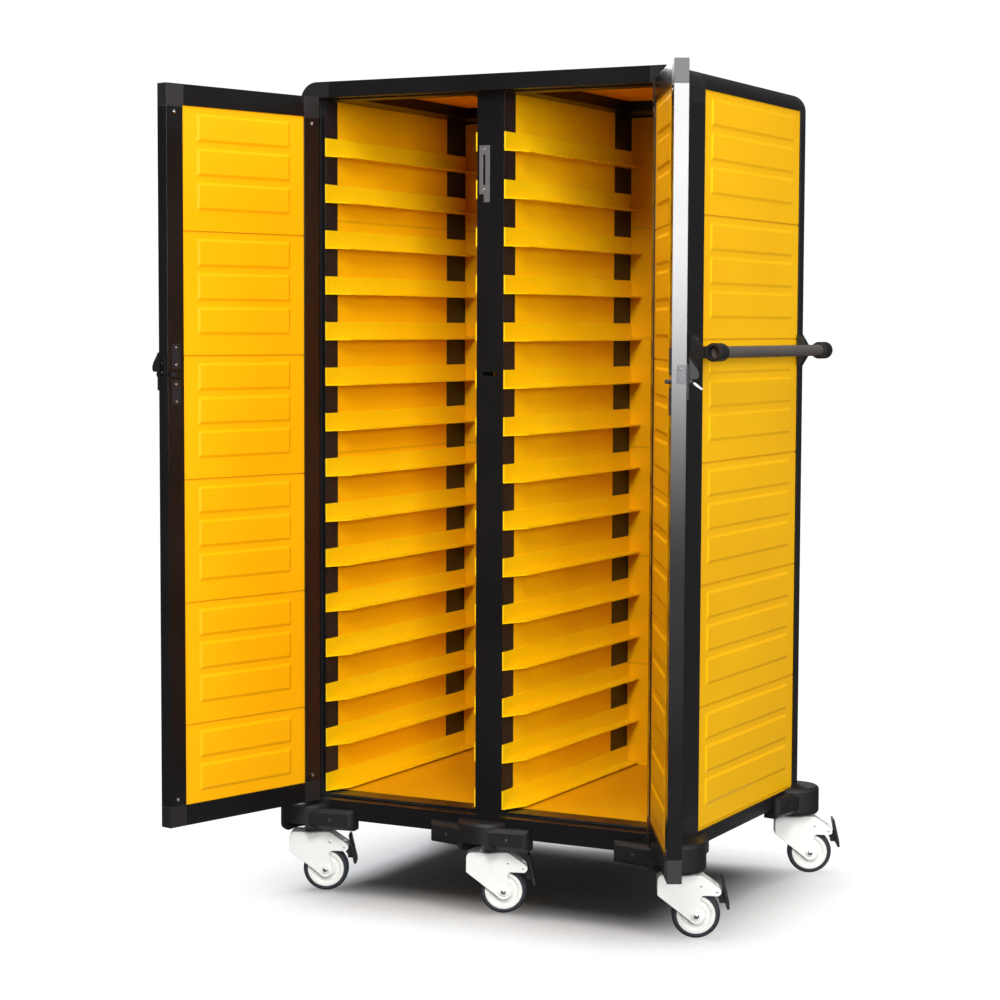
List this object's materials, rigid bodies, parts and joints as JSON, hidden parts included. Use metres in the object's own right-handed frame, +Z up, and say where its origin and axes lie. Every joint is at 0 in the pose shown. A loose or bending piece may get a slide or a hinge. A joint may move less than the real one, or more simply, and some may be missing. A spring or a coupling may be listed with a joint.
{
  "type": "enclosed meal tray cart",
  "caption": "Tall closed catering cart with two hinged doors, ledges for meal trays in two bays, push bars, wrap-round bumpers and braked swivel casters.",
  "frame": {"origin": "on the floor under the middle of the cabinet", "axes": "+X to the right seen from the door side, +Y towards the back, +Z up"},
  "size_m": [1.2027, 1.187, 1.78],
  "materials": {
    "frame": "semi-gloss black coated profiles",
    "mouldings": "fine-grained black moulding",
    "panels": "golden yellow embossed panels, satin gloss",
    "rails": "golden yellow moulded rails, satin gloss",
    "bar": "dark grey satin tube",
    "steel": "satin steel",
    "bumper": "black moulded bumper, dull sheen",
    "caster_white": "white moulded nylon, satin",
    "wheel_white": "light grey wheel centre",
    "tyre": "dark grey tread",
    "pedal": "black ribbed pedal"
  },
  "bodies": {
    "cabinet": {"front_frame": "frame", "rear_frame": "frame", "long_rails": "frame", "ceiling_rails": "frame", "centre_post": "frame", "rail_posts": "frame", "floor_bearers": "frame", "hinge_brackets": "frame", "frame_corners": "mouldings", "bar_brackets": "mouldings", "side_panel_left": "panels", "side_panel_right": "panels", "back_panel": "panels", "top_panel": "panels", "floor_panel": "panels", "divider_panel": "panels", "tray_rails_1": "rails", "tray_rails_2": "rails", "tray_rails_3": "rails", "tray_rails_4": "rails", "push_bars": "bar", "keeper_plate": "steel", "caster_plates": "steel", "corner_bumpers": "bumper", "centre_bumpers": "bumper"},
    "door_left": {"door_left_frame": "frame", "door_left_hinge_leaves": "frame", "door_left_latch_case": "mouldings", "door_left_panel": "panels"},
    "door_right": {"door_right_frame": "frame", "door_right_hinge_leaves": "frame", "door_right_latch_case": "mouldings", "door_right_panel": "panels"},
    "latch_left": {"door_left_latch_lever": "mouldings"},
    "latch_right": {"door_right_latch_lever": "mouldings"},
    "fork_front_left": {"caster_front_left_fork": "caster_white"},
    "wheel_front_left": {"caster_front_left_wheel": "wheel_white", "caster_front_left_tyre": "tyre"},
    "pedal_front_left": {"caster_front_left_pedal": "pedal"},
    "fork_front_middle": {"caster_front_middle_fork": "caster_white"},
    "wheel_front_middle": {"caster_front_middle_wheel": "wheel_white", "caster_front_middle_tyre": "tyre"},
    "pedal_front_middle": {"caster_front_middle_pedal": "pedal"},
    "fork_front_right": {"caster_front_right_fork": "caster_white"},
    "wheel_front_right": {"caster_front_right_wheel": "wheel_white", "caster_front_right_tyre": "tyre"},
    "pedal_front_right": {"caster_front_right_pedal": "pedal"},
    "fork_rear_left": {"caster_rear_left_fork": "caster_white"},
    "wheel_rear_left": {"caster_rear_left_wheel": "wheel_white", "caster_rear_left_tyre": "tyre"},
    "pedal_rear_left": {"caster_rear_left_pedal": "pedal"},
    "fork_rear_middle": {"caster_rear_middle_fork": "caster_white"},
    "wheel_rear_middle": {"caster_rear_middle_wheel": "wheel_white", "caster_rear_middle_tyre": "tyre"},
    "pedal_rear_middle": {"caster_rear_middle_pedal": "pedal"},
    "fork_rear_right": {"caster_rear_right_fork": "caster_white"},
    "wheel_rear_right": {"caster_rear_right_wheel": "wheel_white", "caster_rear_right_tyre": "tyre"},
    "pedal_rear_right": {"caster_rear_right_pedal": "pedal"}
  },
  "joints": [
    {"name": "door_left_hinge", "type": "hinge", "parent": "cabinet", "child": "door_left", "pos_m": [-0.4275, -0.362, 0.975], "axis": [0, 0, 1], "range_deg": [-70, 105]},
    {"name": "door_right_hinge", "type": "hinge", "parent": "cabinet", "child": "door_right", "pos_m": [0.4275, -0.362, 0.975], "axis": [0, 0, 1], "range_deg": [-119, 56]},
    {"name": "latch_left_turn", "type": "hinge", "parent": "door_left", "child": "latch_left", "pos_m": [-0.52802, -0.76419, 1.153], "axis": [0.9659, -0.2588, 0], "range_deg": [-90, 0]},
    {"name": "latch_right_turn", "type": "hinge", "parent": "door_right", "child": "latch_right", "pos_m": [0.62233, -0.72792, 1.153], "axis": [-0.8746, -0.4848, 0], "range_deg": [0, 90]},
    {"name": "swivel_front_left", "type": "hinge", "parent": "cabinet", "child": "fork_front_left", "pos_m": [-0.445, -0.337, 0.16], "axis": [0, 0, 1], "continuous": true},
    {"name": "roll_front_left", "type": "hinge", "parent": "fork_front_left", "child": "wheel_front_left", "pos_m": [-0.40905, -0.31947, 0.05], "axis": [-0.4384, 0.8988, 0], "continuous": true},
    {"name": "brake_front_left", "type": "hinge", "parent": "fork_front_left", "child": "pedal_front_left", "pos_m": [-0.3713, -0.30105, 0.1], "axis": [-0.4384, 0.8988, 0], "range_deg": [-12, 0]},
    {"name": "swivel_front_middle", "type": "hinge", "parent": "cabinet", "child": "fork_front_middle", "pos_m": [0, -0.337, 0.16], "axis": [0, 0, 1], "continuous": true},
    {"name": "roll_front_middle", "type": "hinge", "parent": "fork_front_middle", "child": "wheel_front_middle", "pos_m": [0.03595, -0.31947, 0.05], "axis": [-0.4384, 0.8988, 0], "continuous": true},
    {"name": "brake_front_middle", "type": "hinge", "parent": "fork_front_middle", "child": "pedal_front_middle", "pos_m": [0.0737, -0.30105, 0.1], "axis": [-0.4384, 0.8988, 0], "range_deg": [-12, 0]},
    {"name": "swivel_front_right", "type": "hinge", "parent": "cabinet", "child": "fork_front_right", "pos_m": [0.445, -0.337, 0.16], "axis": [0, 0, 1], "continuous": true},
    {"name": "roll_front_right", "type": "hinge", "parent": "fork_front_right", "child": "wheel_front_right", "pos_m": [0.48095, -0.31947, 0.05], "axis": [-0.4384, 0.8988, 0], "continuous": true},
    {"name": "brake_front_right", "type": "hinge", "parent": "fork_front_right", "child": "pedal_front_right", "pos_m": [0.5187, -0.30105, 0.1], "axis": [-0.4384, 0.8988, 0], "range_deg": [-12, 0]},
    {"name": "swivel_rear_left", "type": "hinge", "parent": "cabinet", "child": "fork_rear_left", "pos_m": [-0.445, 0.337, 0.16], "axis": [0, 0, 1], "continuous": true},
    {"name": "roll_rear_left", "type": "hinge", "parent": "fork_rear_left", "child": "wheel_rear_left", "pos_m": [-0.40905, 0.35453, 0.05], "axis": [-0.4384, 0.8988, 0], "continuous": true},
    {"name": "brake_rear_left", "type": "hinge", "parent": "fork_rear_left", "child": "pedal_rear_left", "pos_m": [-0.3713, 0.37295, 0.1], "axis": [-0.4384, 0.8988, 0], "range_deg": [-12, 0]},
    {"name": "swivel_rear_middle", "type": "hinge", "parent": "cabinet", "child": "fork_rear_middle", "pos_m": [0, 0.337, 0.16], "axis": [0, 0, 1], "continuous": true},
    {"name": "roll_rear_middle", "type": "hinge", "parent": "fork_rear_middle", "child": "wheel_rear_middle", "pos_m": [0.03595, 0.35453, 0.05], "axis": [-0.4384, 0.8988, 0], "continuous": true},
    {"name": "brake_rear_middle", "type": "hinge", "parent": "fork_rear_middle", "child": "pedal_rear_middle", "pos_m": [0.0737, 0.37295, 0.1], "axis": [-0.4384, 0.8988, 0], "range_deg": [-12, 0]},
    {"name": "swivel_rear_right", "type": "hinge", "parent": "cabinet", "child": "fork_rear_right", "pos_m": [0.445, 0.337, 0.16], "axis": [0, 0, 1], "continuous": true},
    {"name": "roll_rear_right", "type": "hinge", "parent": "fork_rear_right", "child": "wheel_rear_right", "pos_m": [0.48095, 0.35453, 0.05], "axis": [-0.4384, 0.8988, 0], "continuous": true},
    {"name": "brake_rear_right", "type": "hinge", "parent": "fork_rear_right", "child": "pedal_rear_right", "pos_m": [0.5187, 0.37295, 0.1], "axis": [-0.4384, 0.8988, 0], "range_deg": [-12, 0]}
  ]
}
